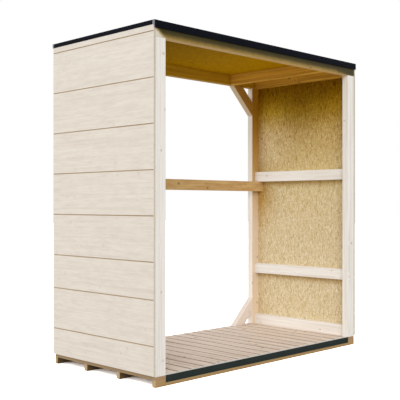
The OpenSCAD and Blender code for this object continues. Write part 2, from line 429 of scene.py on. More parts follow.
slats_low, slats_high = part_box("floor_slats")
slat_width = (slats_high.x - slats_low.x - (SLAT_COUNT - 1) * SLAT_GAP) / SLAT_COUNT
shape = start_piece()
for index in range(SLAT_COUNT):
    left_edge = slats_low.x + index * (slat_width + SLAT_GAP)
    low = Vector((left_edge, slats_low.y, slats_low.z))
    high = Vector((left_edge + slat_width, slats_high.y, slats_high.z))
    lay_timber(shape, low, high, Y_AXIS, SLAT_ROUND, random.Random(SLAT_SEED + index), segments=3)
finish_piece(shape, "floor_slat_boards", ["floor_slats"], [slat_spruce])

shape = bmesh.new()
for index in range(SLAT_COUNT):
    middle = slats_low.x + index * (slat_width + SLAT_GAP) + slat_width / 2
    for bearer in BEARERS:
        bearer_low, bearer_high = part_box(bearer)
        row = (bearer_low.y + bearer_high.y) / 2
        for side in (-1, 1):
            drive_nail(shape, Vector((middle + side * SLAT_NAIL_IN, row, slats_high.z)), Z_AXIS)
finish_piece(shape, "floor_nails", [], [zinc_nail])


# ---- Front floor strip ----
# A thin folded steel angle, powder-coated dark, caps the slats' ends between the front posts. Its
# lower edge is folded back and up, so that no raw edge shows.
STRIP_SHEET = 0.8 * MM
STRIP_BEND = 0.64 * MM
STRIP_HEM = 6 * MM
PEEL_SCALE = 850  # the coating's ripple, about 1.2 mm
PEEL_RELIEF = 0.1 * MM
CLOUD_SCALE = 14  # slow changes of gloss, about 70 mm
CLOUD_DUST = 0.012
DUST_AND_SHEEN_FROM = 0.4  # how far up a face has to look for the dust and painted sheen on it
COAT_ROUGHNESS = (0.43, 0.62)
SOFT_FOLD = math.radians(35)  # folds flatter than this are shaded smooth


def coated_steel(name, paint, dust_and_sheen, dust_and_sheen_share):
    """Powder-coated sheet steel, with a faint ripple like orange peel. What faces up is paler: a dusting,
    and on the floor strip a painted sheen as well.
    """
    material, tree = new_material(name)
    place = add(tree, "TexCoord").outputs["Object"]
    clouds = add(tree, "TexNoise", {"Scale": CLOUD_SCALE, "Detail": 4, "Roughness": 0.6, "Vector": place})
    peel = add(tree, "TexNoise", {"Scale": PEEL_SCALE, "Detail": 1, "Vector": place})
    facing = add(tree, "SeparateXYZ", {0: add(tree, "NewGeometry").outputs["Normal"]})
    upward = add(tree, "MapRange", {0: facing.outputs["Z"], 1: DUST_AND_SHEEN_FROM, 4: dust_and_sheen_share})
    cloud_mask = add(tree, "MapRange", {0: clouds, 1: 0.35, 2: 0.7, 4: CLOUD_DUST})
    dust_and_sheen_mask = add(tree, "Math", {"operation": "ADD", 0: upward, 1: cloud_mask})
    colour = add(tree, "Mix", {**BLEND, 0: dust_and_sheen_mask, 6: linear(paint), 7: linear(dust_and_sheen)})
    rough = add(tree, "MapRange", {0: clouds, 1: 0.3, 2: 0.7, 3: COAT_ROUGHNESS[0], 4: COAT_ROUGHNESS[1]})
    bump = add(tree, "Bump", {"Strength": 0.12, "Distance": PEEL_RELIEF, "Height": peel})
    shader = add(tree, "BsdfPrincipled", {"IOR": 1.5, "Specular IOR Level": 0.02, "Base Color": colour,
                                          "Roughness": rough, "Normal": bump})
    add(tree, "OutputMaterial", {"Surface": shader})
    return material


def fold_sheet(shape, outline, axis, length, bend):
    """Sweeps an outline along an axis into a sheet without thickness, and rounds its folds."""
    points = [shape.verts.new(point) for point in outline]
    edges = [shape.edges.new(pair) for pair in zip(points, points[1:])]
    swept = bmesh.ops.extrude_edge_only(shape, edges=edges)["geom"]
    moved = [item for item in swept if isinstance(item, bmesh.types.BMVert)]
    bmesh.ops.translate(shape, vec=axis * length, verts=moved)
    faces = [item for item in swept if isinstance(item, bmesh.types.BMFace)]
    inner = [edge for edge in {e for f in faces for e in f.edges} if len(edge.link_faces) == 2]
    bmesh.ops.bevel(shape, geom=inner, offset=bend, affect="EDGES", segments=4, profile=0.5, material=-1)
    bmesh.ops.recalc_face_normals(shape, faces=shape.faces)


def folded_piece(name, node, outline, axis, length, sheet, bend, outward, steel):
    """A folded sheet as a piece, thickened inwards. Its largest face has to look outward."""
    shape = bmesh.new()
    fold_sheet(shape, outline, axis, length, bend)
    largest = max(shape.faces, key=lambda face: face.calc_area())
    if largest.normal.dot(outward) < 0:
        bmesh.ops.reverse_faces(shape, faces=shape.faces)
    bmesh.ops.solidify(shape, geom=shape.faces, thickness=sheet)
    finish_piece(shape, name, [node], [steel], smooth_angle=SOFT_FOLD)


# Powder-coated steel: very dark grey-green and satin. Its top leg is painted pale: a painted sheen
# of the light that it catches, with a little dust.
strip_steel = coated_steel("dark_green_coated_steel", 0x2B3432, 0xE4E2DC, dust_and_sheen_share=0.95)

strip_low, strip_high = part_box("front_floor_strip")
outline = [
    Vector((strip_low.x, strip_low.y + 2 * STRIP_SHEET, strip_low.z + STRIP_HEM)),
    Vector((strip_low.x, strip_low.y + 2 * STRIP_SHEET, strip_low.z)),
    Vector((strip_low.x, strip_low.y, strip_low.z)),
    Vector((strip_low.x, strip_low.y, strip_high.z)),
    Vector((strip_low.x, strip_high.y, strip_high.z)),
]
folded_piece("floor_edge_strip", "front_floor_strip", outline, X_AXIS, strip_high.x - strip_low.x,
             STRIP_SHEET, STRIP_BEND, -Y_AXIS, strip_steel)


# ---- Corner posts ----
# Four planed spruce posts stand on the slats. They are planed all round with eased edges and carry
# one thin coat of pale stain, through which the rings and small knots still show.
PLANED_EASE = 2.2 * MM
WOOD_SHADE = (0.75, 1.75)  # heights between which the painted roof shade turns from pale to golden
WOOD_TINTS = ((0, (0.90, 0.78, 0.64, 1)), (0.5, (0.74, 0.50, 0.20, 1)), (1, (0.62, 0.34, 0.02, 1)))


def painted_roof_shade(tree, colour, heights, tints):
    """Painted shade: tinted by height, pale low down and golden and darker towards the roof."""
    place = add(tree, "SeparateXYZ", {0: add(tree, "TexCoord").outputs["Object"]})
    roof_nearness = add(tree, "MapRange", {**SMOOTH, 0: place.outputs["Z"], 1: heights[0], 2: heights[1]})
    tint = add(tree, "ValToRGB", {"stops": tints, 0: roof_nearness})
    return add(tree, "Mix", {**TINTED, 0: 1, 6: colour, 7: tint.outputs["Color"]})


def shaded_on_the_inside(tree, colour):
    """Painted shade on the faces that look into the store, towards the front: darker, golden near the roof.
    """
    shifted_tone = painted_roof_shade(tree, colour, WOOD_SHADE, WOOD_TINTS)
    return add(tree, "Mix", {**BLEND, 0: facing_share(tree, **LOOKS_FORWARD), 6: colour, 7: shifted_tone})


# Planed spruce with a thin white stain: a silky off-white, through which warmer rings still show.
stained_spruce = spruce("stained_planed_spruce", 0xFAF7F2, 0xE4DACD, 0xA8917A, 0xDED3C6, ring_mm=4,
                        ring_share=0.65, streak_share=0.6, knot_share=0.45, roughness=0.55)

# The same for the rear posts, with painted shade on the side towards the logs: darker, and golden
# near the roof.
inner_shaded_spruce = spruce("inner_face_shaded_spruce", 0xF8F3EB, 0xECE0D2, 0xA98C70, 0xE4D6C6, ring_mm=3,
                     ring_share=0.5, streak_share=0.45, knot_share=0.5, roughness=0.55,
                     finish=shaded_on_the_inside)
POSTS = {"front_post_left": stained_spruce, "front_post_right": stained_spruce, "rear_post_left": inner_shaded_spruce,
         "rear_post_right": inner_shaded_spruce}
for name, wood in POSTS.items():
    shape = start_piece()
    lay_timber(shape, *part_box(name), Z_AXIS, PLANED_EASE, random.Random(name))
    finish_piece(shape, name + "_timber", [name], [wood])


# ---- Wall rails ----
# Three rails in each end wall run between the posts, on edge, of the same stained spruce. They
# hold the strand board, and the cladding outside it.
for side in ("left", "right"):
    for level in ("bottom", "lower", "mid"):
        name = f"{side}_{level}_rail"
        shape = start_piece()
        lay_timber(shape, *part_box(name), Y_AXIS, PLANED_EASE, random.Random(name))
        finish_piece(shape, name + "_timber", [name], [stained_spruce])


# ---- Strand board ----
# The inner sheet of each end wall is strand board: thin flakes of softwood about 7 x 26 mm, most of
# them upright, glued and pressed. Each flake has its own tone, and the gaps between flakes are dark.
FLAKE_LENGTH = 26
FLAKE_WIDTH = 6.5
FLAKE_LAYERS = ((4, 1), (-19, 0.6), (26, 0.5), (-6, 0.55))  # turn in degrees, and share that shows
LAYER_SHIFT = Vector((0.37, 0.61, 0))
FLAKE_WANDER, WANDER_SCALE = 12 * MM, 30  # how far the flakes' edges stray from straight, every 33 mm
FLAKE_LIFT = 0.4 * MM
FLAKE_FIBRES = (60, 1400, 1)  # to the metre: fibres 17 mm long and 0.7 mm wide
FLAKE_FIBRE_TONES = (0.9, 1.08)
FLAKE_RIM, FLAKE_BEVEL = 0.08, 0.12  # the dark rim and the sloping edge, as shares of a flake's width
FLAKE_TONES = (0xC4AA76, 0xE1CCA0, 0xEAD8B0, 0xF1E2C0, 0xDEC796, 0xF6EBD0)
FLAKE_GAP = 0xAA8C58
WALL_GLOSS = 0.06
EDGE_STAIN = 0xCEC7BA  # pale stain that ran over the sheet's upright edges
EDGE_STAIN_SHARE = 0.2  # of the bare tone that shows through it

# The wall's painted roof shade by height, in metres from the ground, and by share of the way between the two
BOARD_SHADE = (0.44, 1.93)
BOARD_TINTS = ((0, (0.93, 0.915, 0.88, 1)), (0.235, (0.93, 0.89, 0.81, 1)), (0.445, (0.908, 0.877, 0.74, 1)),
               (0.82, (0.82, 0.74, 0.49, 1)), (0.936, (0.62, 0.50, 0.07, 1)), (0.97, (0.53, 0.40, 0.025, 1)),
               (1, (0.44, 0.31, 0.001, 1)))
CONTRAST_FROM = 1.15
BOARD_CONTRAST = (0.85, 1.7)  # of the flakes, where the board is pale and where its painted shade is golden

# Painted shade beside the frame: a golden tint by the rear post and below the rails
FRAME_SHADE_TINT = (0.80, 0.60, 0.22, 1)
POST_REACH, POST_SHARE = 110 * MM, 0.2  # beside the rear post
PATCH_WIDTH, PATCH_EDGE = 220 * MM, 10 * MM  # beside the rear post, at the height of the rear rail
PATCH_DEPTH, PATCH_FADE, PATCH_TOP = 450 * MM, 300 * MM, 200 * MM  # below and above the middle rail's foot
RAIL_REACH, RAIL_SHARE, RAIL_COVER = 60 * MM, 0.8, 10 * MM  # below each rail, and how far up behind it
FRAME_FALL = 1.5  # how fast the golden tone fades away from the frame

# Painted light: where the sheet is paler again, by the open back
BACK_LIGHT = (1.65, 1.85, 2.9, 1)
BACK_DEPTH = (0.05, 0.32)  # from the middle of the store to its rear
BACK_RISE = (1.25, 1.7)
BACK_FALL = (1.74, 1.86)
BACK_TOP_SHARE = 0.2


def beside_frame(tree, parts):
    """How much painted shade, a golden tint, the sheet gets beside the rear post and below the rails."""
    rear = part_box("rear_post_right")[0].y
    mid_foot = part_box("right_mid_rail")[0].z
    near = [add(tree, "MapRange", {0: parts.outputs["Y"], 1: rear - POST_REACH, 2: rear, 4: POST_SHARE})]
    beside_post = add(tree, "MapRange", {0: parts.outputs["Y"], 1: rear - PATCH_WIDTH, 2: rear - PATCH_EDGE})
    rising = add(tree, "MapRange", {0: parts.outputs["Z"], 1: mid_foot - PATCH_DEPTH,
                                    2: mid_foot - PATCH_DEPTH + PATCH_FADE})
    falling = add(tree, "MapRange", {0: parts.outputs["Z"], 1: mid_foot, 2: mid_foot + PATCH_TOP, 3: 1, 4: 0})
    patch = add(tree, "Math", {"operation": "MULTIPLY", 0: rising, 1: falling})
    near.append(add(tree, "Math", {"operation": "MULTIPLY", 0: patch, 1: beside_post}))
    for level in ("mid", "lower"):
        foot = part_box(f"right_{level}_rail")[0].z
        below = add(tree, "MapRange", {0: parts.outputs["Z"], 1: foot - RAIL_REACH, 2: foot, 4: RAIL_SHARE})
        hidden = add(tree, "Math", {"operation": "LESS_THAN", 0: parts.outputs["Z"], 1: foot + RAIL_COVER})
        near.append(add(tree, "Math", {"operation": "MULTIPLY", 0: below, 1: hidden}))
    most = near[0]
    for share in near[1:]:
        most = add(tree, "Math", {"operation": "MAXIMUM", 0: most, 1: share})
    return add(tree, "Math", {"operation": "POWER", 0: most, 1: FRAME_FALL})


def beside_open_back(tree, parts):
    """Painted light: how much paler the sheet is painted, high up and near the open back."""
    rearward = add(tree, "MapRange", {0: parts.outputs["Y"], 1: BACK_DEPTH[0], 2: BACK_DEPTH[1]})
    high = add(tree, "MapRange", {0: parts.outputs["Z"], 1: BACK_RISE[0], 2: BACK_RISE[1]})
    not_top = add(tree, "MapRange", {0: parts.outputs["Z"], 1: BACK_FALL[0], 2: BACK_FALL[1], 3: 1,
                                     4: BACK_TOP_SHARE})
    band = add(tree, "Math", {"operation": "MULTIPLY", 0: high, 1: not_top})
    return add(tree, "Math", {"operation": "MULTIPLY", 0: band, 1: rearward})


def strand_board(name, along, across, tones, gap_tone, gloss, edge_tone=None, painted_light_end=None):
    """Flakes in crossing layers, most of them along the first of the sheet's two directions. A wall's
    sheet has an edge_tone and gets painted shade and painted light by its place. painted_light_end
    lightens a sheet from one X to another, as painted light."""
    material, tree = new_material(name)
    place = add(tree, "TexCoord").outputs["Object"]
    parts = add(tree, "SeparateXYZ", {0: place})
    flat = add(tree, "CombineXYZ", {0: parts.outputs[along], 1: parts.outputs[across]})
    colour = height = None
    stops = [(index / (len(tones) - 1), linear(tone)) for index, tone in enumerate(tones)]
    for index, (angle, showing) in enumerate(FLAKE_LAYERS):
        # each layer is moved as well as turned, so that no flake lies right over another
        turned = add(tree, "Mapping", {"Rotation": (0, 0, math.radians(angle)),
                                       "Location": index * LAYER_SHIFT, "Vector": flat})
        wobble = add(tree, "TexNoise", {"Scale": WANDER_SCALE, "Detail": 2, "Vector": turned})
        bent = add(tree, "VectorMath", {"operation": "MULTIPLY_ADD", 0: wobble.outputs["Color"],
                                        1: (FLAKE_WANDER,) * 3, 2: turned})
        scaled = add(tree, "Mapping", {"Scale": (1000 / FLAKE_LENGTH, 1000 / FLAKE_WIDTH, 1), "Vector": bent})
        flakes = add(tree, "TexVoronoi", {"voronoi_dimensions": "2D", "Scale": 1, "Vector": scaled})
        rims = add(tree, "TexVoronoi", {"voronoi_dimensions": "2D", "feature": "DISTANCE_TO_EDGE", "Scale": 1,
                                        "Vector": scaled})
        chance = add(tree, "SeparateColor", {0: flakes.outputs["Color"]})
        tone = add(tree, "ValToRGB", {"stops": stops, 0: chance.outputs[0]})
        fine = add(tree, "Mapping", {"Scale": FLAKE_FIBRES, "Vector": turned})
        fibre = add(tree, "TexNoise", {"Scale": 1, "Detail": 2, "Vector": fine})
        fibre_tone = add(tree, "MapRange", {0: fibre, 1: 0.3, 2: 0.7, 3: FLAKE_FIBRE_TONES[0],
                                            4: FLAKE_FIBRE_TONES[1]})
        grained = add(tree, "Mix", {**TINTED, 0: 1, 6: tone, 7: fibre_tone})
        rim = add(tree, "MapRange", {0: rims.outputs["Distance"], 2: FLAKE_RIM, 3: 1, 4: 0})
        rimmed = add(tree, "Mix", {**BLEND, 0: rim, 6: grained, 7: linear(gap_tone)})
        lift = add(tree, "MapRange", {0: rims.outputs["Distance"], 2: FLAKE_BEVEL})
        if colour is None:
            colour, height = rimmed, lift
            continue
        on_top = add(tree, "Math", {"operation": "LESS_THAN", 0: chance.outputs[1], 1: showing})
        colour = add(tree, "Mix", {**BLEND, 0: on_top, 6: colour, 7: rimmed})
        height = add(tree, "Mix", {"data_type": "FLOAT", 0: on_top, 2: height, 3: lift})
    if edge_tone is not None:
        # Painted shade: the flakes grow contrastier and golden towards the roof, and golden beside the frame
        contrast = add(tree, "MapRange", {**SMOOTH, 0: parts.outputs["Z"], 1: CONTRAST_FROM,
                                          2: BOARD_SHADE[1], 3: BOARD_CONTRAST[0], 4: BOARD_CONTRAST[1]})
        colour = add(tree, "Gamma", {"Color": colour, "Gamma": contrast})
        colour = painted_roof_shade(tree, colour, BOARD_SHADE, BOARD_TINTS)
        frame_shade = beside_frame(tree, parts)
        colour = add(tree, "Mix", {**TINTED, 0: frame_shade, 6: colour, 7: FRAME_SHADE_TINT})
        paler = beside_open_back(tree, parts)
        colour = add(tree, "Mix", {**TINTED, 0: paler, 6: colour, 7: BACK_LIGHT})
        stained = add(tree, "Mix", {**BLEND, 0: EDGE_STAIN_SHARE, 6: linear(edge_tone), 7: colour})
        colour = add(tree, "Mix", {**BLEND, 0: facing_share(tree, "Y"), 6: colour, 7: stained})
    if painted_light_end is not None:
        from_x, to_x, tint = painted_light_end
        beyond = add(tree, "MapRange", {0: parts.outputs["X"], 1: from_x, 2: to_x})
        colour = add(tree, "Mix", {**TINTED, 0: beyond, 6: colour, 7: tint})
    bump = add(tree, "Bump", {"Strength": 0.15, "Distance": FLAKE_LIFT, "Height": height})
    shader = add(tree, "BsdfPrincipled", {"IOR": 1.5, "Specular IOR Level": gloss, "Roughness": 0.7,
                                          "Base Color": colour, "Normal": bump})
    add(tree, "OutputMaterial", {"Surface": shader})
    return material


# Pressed softwood flakes with little glue on top: straw yellow and almost without gloss.
wall_board = strand_board("strand_board_upright", "Z", "Y", FLAKE_TONES, FLAKE_GAP, WALL_GLOSS, EDGE_STAIN)
for side in ("left", "right"):
    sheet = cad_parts[f"{side}_strand_board"].data
    sheet.materials.clear()
    sheet.materials.append(wall_board)


# ---- Cladding ----
# Wide horizontal spruce boards cover the outside of each end wall, with brushed faces and a pale
# stain. Their chamfered edges meet in V grooves, where the bare wood shows. Small nails hold them.
COURSE = 250 * MM
NARROW_COURSE = 205 * MM
BOTTOM_COURSE = 162 * MM
GROOVE = 6 * MM
WALL_NAIL, WALL_NAIL_RISE = 1.5 * MM, 0.15 * MM
NAILS_ALONG = (0.04, 0.5, 0.96)  # shares of a board's length
NAILS_UP = (0.22, 0.78)  # shares of its height
NAILED_COURSE = 80 * MM  # a lower strip than this has no nails of its own

# Brushed spruce with a pale stain: matt beige, with the soft wood worn back between raised rings.
brushed_spruce = spruce("brushed_stained_spruce", 0xE7DFD4, 0xD9CDBE, 0xC4B4A0, 0xCBC0B3, ring_mm=5,
                        ring_share=0.5, streak_share=0.4, knot_share=0.3, roughness=0.6, relief=0.6,
                        mottle=0.4)

# Bare spruce where the chamfers were cut after the staining: a warm brown line in each groove.
groove_wood = spruce("bare_groove_spruce", 0xB9A283, 0x9B8569, 0x6B4E30, 0x9F896D, ring_mm=3, roughness=0.7)

# Steel nail heads under the same thin stain: beige dots that hardly show.
stained_nail, tree = new_material("stained_nail_head")
speckle, tint = speckled(tree, 0xB4AA9E, 0xD2C9BE)
shader = add(tree, "BsdfPrincipled", {"Roughness": 0.5, "Specular IOR Level": 0.3, "Base Color": tint})
add(tree, "OutputMaterial", {"Surface": shader})

for side in ("left", "right"):
    name = f"{side}_cladding"
    wall_low, wall_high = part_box(name)
    outward = -X_AXIS if side == "left" else X_AXIS
    face_x = wall_low.x if side == "left" else wall_high.x
    levels = [wall_low.z]
    for course in (BOTTOM_COURSE, COURSE, NARROW_COURSE):
        levels.append(levels[-1] + course)
    while levels[-1] + COURSE < wall_high.z - GROOVE:
        levels.append(levels[-1] + COURSE)
    levels.append(wall_high.z)
    shape = start_piece()
    nails = bmesh.new()
    for index, (foot, head) in enumerate(zip(levels, levels[1:])):
        low, high = Vector((wall_low.x, wall_low.y, foot)), Vector((wall_high.x, wall_high.y, head))
        centre = (low + high) / 2
        before = set(shape.verts)
        board = bmesh.ops.create_cube(shape, size=1)["verts"]
        bmesh.ops.scale(shape, vec=high - low, verts=board)
        bmesh.ops.translate(shape, vec=centre, verts=board)
        chamfered = []
        for edge in {e for v in board for e in v.link_edges}:
            first, second = edge.verts[0].co, edge.verts[1].co
            middle = (first + second) / 2
            is_outer = (middle - centre).dot(outward) > 0
            is_level = abs(first.y - second.y) > (high.y - low.y) / 2
            is_top_joint = middle.z > centre.z and head < wall_high.z - MM
            is_foot_joint = middle.z < centre.z and foot > wall_low.z + MM
            if is_outer and is_level and (is_top_joint or is_foot_joint):
                chamfered.append(edge)
        bmesh.ops.bevel(shape, geom=chamfered, offset=GROOVE / 2, affect="EDGES", segments=1, profile=0.5,
                        material=1)
        give_grain(shape, [v for v in shape.verts if v not in before], Y_AXIS, Z_AXIS, centre,
                   random.Random(f"{name}{index}"))
        if head - foot > NAILED_COURSE:
            for along in NAILS_ALONG:
                for up in NAILS_UP:
                    point = Vector((face_x, low.y + along * (high.y - low.y), foot + up * (head - foot)))
                    drive_nail(nails, point, outward, WALL_NAIL, WALL_NAIL_RISE)
    finish_piece(shape, name + "_boards", [name], [brushed_spruce, groove_wood])
    finish_piece(nails, name + "_nails", [], [stained_nail])


# ---- Rear rail and braces ----
# A planed spruce rail crosses the open back, screwed to the inner faces of the rear posts. Four
# short braces with mitred ends stiffen the corners. They are unstained: the rail is honey brown, the
# upper braces carry painted shade on their front faces, and the lower braces are painted pale for
# the light that they get.
SCREW_HEAD, SCREW_RISE = 4 * MM, 0.2 * MM
RAIL_SCREW_IN = 24 * MM  # from the rail's end
RAIL_SCREW_LEVELS = (0.28, 0.72)
RAIL_SEED = 11
BRACE_WIDTH = 75 * MM
BRACE_EASE = 0.6 * PLANED_EASE
FRONT_SHADE_GOLD = (0.72, 0.48, 0.12, 1)


def shaded_at_the_front(tree, colour):
    """Painted shade: what looks into the store, towards the front, is tinted golden."""
    forward = facing_share(tree, **LOOKS_FORWARD)
    return add(tree, "Mix", {**TINTED, 0: forward, 6: colour, 7: FRONT_SHADE_GOLD})


# Planed spruce, unstained and aged by light: honey brown, with a little more gloss than the sawn wood.
honey_spruce = spruce("honey_planed_spruce", 0xE4C489, 0xC49A5E, 0x6E4525, 0xBC8652, ring_mm=3.4,
                      ring_share=0.6, streak_share=0.6, roughness=0.55, mottle=0.6)

# The same for the upper braces: pale on the sides that get light, and golden on the faces towards
# the front, as painted shade.
brace_spruce = spruce("front_shaded_spruce", 0xF0DDBE, 0xD6B98E, 0x6E4525, 0xD2B894, ring_mm=2.6,
                      ring_share=0.55, streak_share=0.4, roughness=0.55, finish=shaded_at_the_front)

# And for the lower braces, which get the most light: painted a pale pinkish grey for that light.
lit_pale_spruce = spruce("lit_pale_planed_spruce", 0xEEE3DA, 0xD8C6B6, 0x9A7048, 0xD8C4B0, ring_mm=2.6,
                     ring_share=0.5, streak_share=0.4, roughness=0.55)

low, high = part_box("rear_mid_rail")
shape = start_piece()
lay_timber(shape, low, high, X_AXIS, PLANED_EASE, random.Random(RAIL_SEED))
finish_piece(shape, "rear_mid_rail_timber", ["rear_mid_rail"], [honey_spruce])

shape = bmesh.new()
for end, way in ((low.x, 1), (high.x, -1)):
    for level in RAIL_SCREW_LEVELS:
        place = Vector((end + way * RAIL_SCREW_IN, low.y, low.z + level * (high.z - low.z)))
        drive_nail(shape, place, -Y_AXIS, SCREW_HEAD, SCREW_RISE)
finish_piece(shape, "rail_screws", [], [zinc_nail])

for level, up in (("upper", -1), ("lower", 1)):
    for side, way in (("left", 1), ("right", -1)):
        name = f"{level}_brace_{side}"
        low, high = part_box(name)
        corner_x = low.x if side == "left" else high.x
        corner_z = high.z if level == "upper" else low.z
        outer = high.x - low.x
        inner = outer - BRACE_WIDTH * math.sqrt(2)
        outline = [(inner, 0), (outer, 0), (0, outer), (0, inner)]
        shape = start_piece()
        corners = [shape.verts.new((corner_x + way * a, low.y, corner_z + up * b)) for a, b in outline]
        face = shape.faces.new(corners)
        bulk = bmesh.ops.extrude_face_region(shape, geom=[face])["geom"]
        bmesh.ops.translate(shape, vec=Y_AXIS * (high.y - low.y),
                            verts=[item for item in bulk if isinstance(item, bmesh.types.BMVert)])
        bmesh.ops.recalc_face_normals(shape, faces=shape.faces)
        bmesh.ops.bevel(shape, geom=shape.edges[:], offset=BRACE_EASE, affect="EDGES", segments=2,
                        profile=0.5, material=-1)
        along = Vector((way, 0, -up)).normalized()
        give_grain(shape, shape.verts, along, Y_AXIS, (low + high) / 2, random.Random(name))
        wood = brace_spruce if level == "upper" else lit_pale_spruce
        finish_piece(shape, name + "_timber", [name], [wood])


# ---- Roof frame ----
# Two beams on the posts, two end rafters and one inner rafter, of planed spruce. The edging's shadow
# is painted on the front beam.
ROOF_SHADE_GOLD = (1, 0.88, 0.24, 1)
DEEP_SHADE_GOLD = (0.72, 0.64, 0.05, 1)
LOOKS_BACK = {"axis": "Y", "from_share": 0.35, "to_share": 0.65, "both_ways": False}
SHADOW_TOP, SHADOW_FOOT = 19 * MM, 70 * MM  # how far below the edging the painted shadow starts to fade, and ends
PENUMBRA_FOOT = 1.35 * SHADOW_FOOT  # where the olive painted half-shade round the shadow ends
SHADOW_DARK = 0x2E2A06
SHADOW_SHARE = 0.95
OLIVE_PENUMBRA = (0.5, 0.42, 0.05, 1)
SHADOW_FRAY = 10 * MM  # how ragged its lower edge is
FRAY_SCALE = 26  # to the metre: frays of about 40 mm
SHADOW_DEEPER, DEEPER_FROM = 24 * MM, 250 * MM  # how much deeper at the right end, and from how far away
SHADOW_START, SHADOW_SLANT = 30 * MM, 1.3  # where it starts, from the left end, and how it leans away below
START_FADE = (-30 * MM, 24 * MM)
POST_STAIN = 0xE2D9C6  # the posts' stain tone, which the beam has at its left end, left of the painted shadow


def shaded_but_for_the_back(tint):
    """Painted shade: the wood is tinted deep golden, except on its faces at the back."""
    def finish(tree, colour):
        golden = add(tree, "Mix", {**TINTED, 0: 1, 6: colour, 7: tint})
        return add(tree, "Mix", {**BLEND, 0: facing_share(tree, **LOOKS_BACK), 6: golden, 7: colour})
    return finish


def edging_shadow(tree, colour):
    """Painted shadow of the edging on the front beam: nearly black, with an olive half-shade round it."""
    low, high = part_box("front_beam")
    place = add(tree, "TexCoord").outputs["Object"]
    parts = add(tree, "SeparateXYZ", {0: place})
    ragged = add(tree, "TexNoise", {"Scale": FRAY_SCALE, "Detail": 3, "Vector": place})
    depth = add(tree, "Math", {"operation": "SUBTRACT", 0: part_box("front_roof_trim")[0].z,
                               1: parts.outputs["Z"]})
    frayed = add(tree, "Math", {"operation": "MULTIPLY_ADD", 0: ragged, 1: SHADOW_FRAY, 2: depth})
    deeper = add(tree, "MapRange", {**SMOOTH, 0: parts.outputs["X"], 1: high.x - DEEPER_FROM, 2: high.x,
                                    4: SHADOW_DEEPER})
    frayed = add(tree, "Math", {"operation": "SUBTRACT", 0: frayed, 1: deeper})
    dark = add(tree, "MapRange", {**SMOOTH, 0: frayed, 1: SHADOW_TOP, 2: SHADOW_FOOT, 3: SHADOW_SHARE, 4: 0})
    penumbra = add(tree, "MapRange", {0: frayed, 1: SHADOW_TOP, 2: PENUMBRA_FOOT, 3: 1, 4: 0})
    start = add(tree, "Math", {"operation": "MULTIPLY_ADD", 0: depth, 1: SHADOW_SLANT, 2: low.x + SHADOW_START})
    past = add(tree, "Math", {"operation": "SUBTRACT", 0: parts.outputs["X"], 1: start})
    past = add(tree, "Math", {"operation": "MULTIPLY_ADD", 0: ragged, 1: 4 * SHADOW_FRAY, 2: past})
    along = add(tree, "MapRange", {**SMOOTH, 0: past, 1: START_FADE[0], 2: START_FADE[1]})
    shifted_tone = add(tree, "Mix", {**BLEND, 0: along, 6: linear(POST_STAIN), 7: colour})
    front = facing_share(tree, "Y", -0.4, -0.8, both_ways=False)
    in_shadow = add(tree, "Math", {"operation": "MULTIPLY", 0: along, 1: front})
    share = add(tree, "Math", {"operation": "MULTIPLY", 0: penumbra, 1: in_shadow})
    olive = add(tree, "Mix", {**TINTED, 0: share, 6: shifted_tone, 7: OLIVE_PENUMBRA})
    share = add(tree, "Math", {"operation": "MULTIPLY", 0: dark, 1: in_shadow})
    return add(tree, "Mix", {**BLEND, 0: share, 6: olive, 7: linear(SHADOW_DARK)})


# Planed spruce under the roof, painted golden: painted shade of the roof, deeper on the rear beam.
GOLDEN = {"early": 0xF8D094, "late": 0xB98848, "knot_heart": 0x6E4525, "streak_tone": 0xB48A50, "ring_mm": 4,
          "ring_share": 0.7, "streak_share": 0.75, "knot_share": 0.55, "roughness": 0.55}
roof_shaded_spruce = spruce("roof_shaded_planed_spruce", **GOLDEN, finish=shaded_but_for_the_back(ROOF_SHADE_GOLD))
deep_roof_shaded_spruce = spruce("deep_roof_shaded_planed_spruce", **GOLDEN, finish=shaded_but_for_the_back(DEEP_SHADE_GOLD))

# The same spruce on the front beam, yellow, and nearly black where the edging's painted shadow falls.
front_beam_spruce = spruce("edging_shadowed_spruce", 0xEACA8A, 0xC8A05E, 0x6E4525, 0xC69C5A, ring_mm=2.6,
                           ring_share=0.55, streak_share=0.4, roughness=0.55, finish=edging_shadow)
ROOF_TIMBERS = {"front_beam": (X_AXIS, front_beam_spruce), "rear_beam": (X_AXIS, deep_roof_shaded_spruce),
                "left_rafter": (Y_AXIS, roof_shaded_spruce), "right_rafter": (Y_AXIS, roof_shaded_spruce),
                "inner_rafter": (Y_AXIS, roof_shaded_spruce)}
for name, (along, wood) in ROOF_TIMBERS.items():
    shape = start_piece()
    lay_timber(shape, *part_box(name), along, PLANED_EASE, random.Random(name))
    finish_piece(shape, name + "_timber", [name], [wood])


# ---- Roof deck ----
# One sheet of strand board lies on the roof timbers, its smoother face downwards. It carries the
# felt, and is the ceiling over the logs.
DECK_SHADED_TONES = (0x7C5B00, 0x886402, 0x906C03, 0x967204, 0x825F01, 0x9C7A08)
DECK_SHADED_GAP = 0x664502
DECK_GLOSS = 0.01
PAINTED_LIGHT_END = (-0.8, 0.32, (2.2, 2.2, 1.2, 1))  # painted light: from and to, and the tint, towards the right end

# Pressed softwood flakes, quite matt, painted deep dark amber: painted shade of the ceiling under
# the roof.
deck_board = strand_board("strand_board_flat", "X", "Y", DECK_SHADED_TONES, DECK_SHADED_GAP, DECK_GLOSS,
                          painted_light_end=PAINTED_LIGHT_END)
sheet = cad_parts["roof_deck"].data
sheet.materials.clear()
sheet.materials.append(deck_board)


# ---- Roof felt ----
# Bitumen felt with slate granules is rolled out over the deck in three lengths, from end to end.
# The front and the rear length overlap the middle one.
FELT_LAPS = 3
LAP_STEP = 1.2 * MM
FELT_EASE = 0.5 * MM
GRIT_SCALE = 1000 / 3  # granules of 3 mm
GRIT_RELIEF = 0.6 * MM
WEATHER_SCALE = 5  # patches of about 200 mm, bleached by the weather
WEATHERED, WEATHERED_SHARE = 0x5A5A56, 0.4

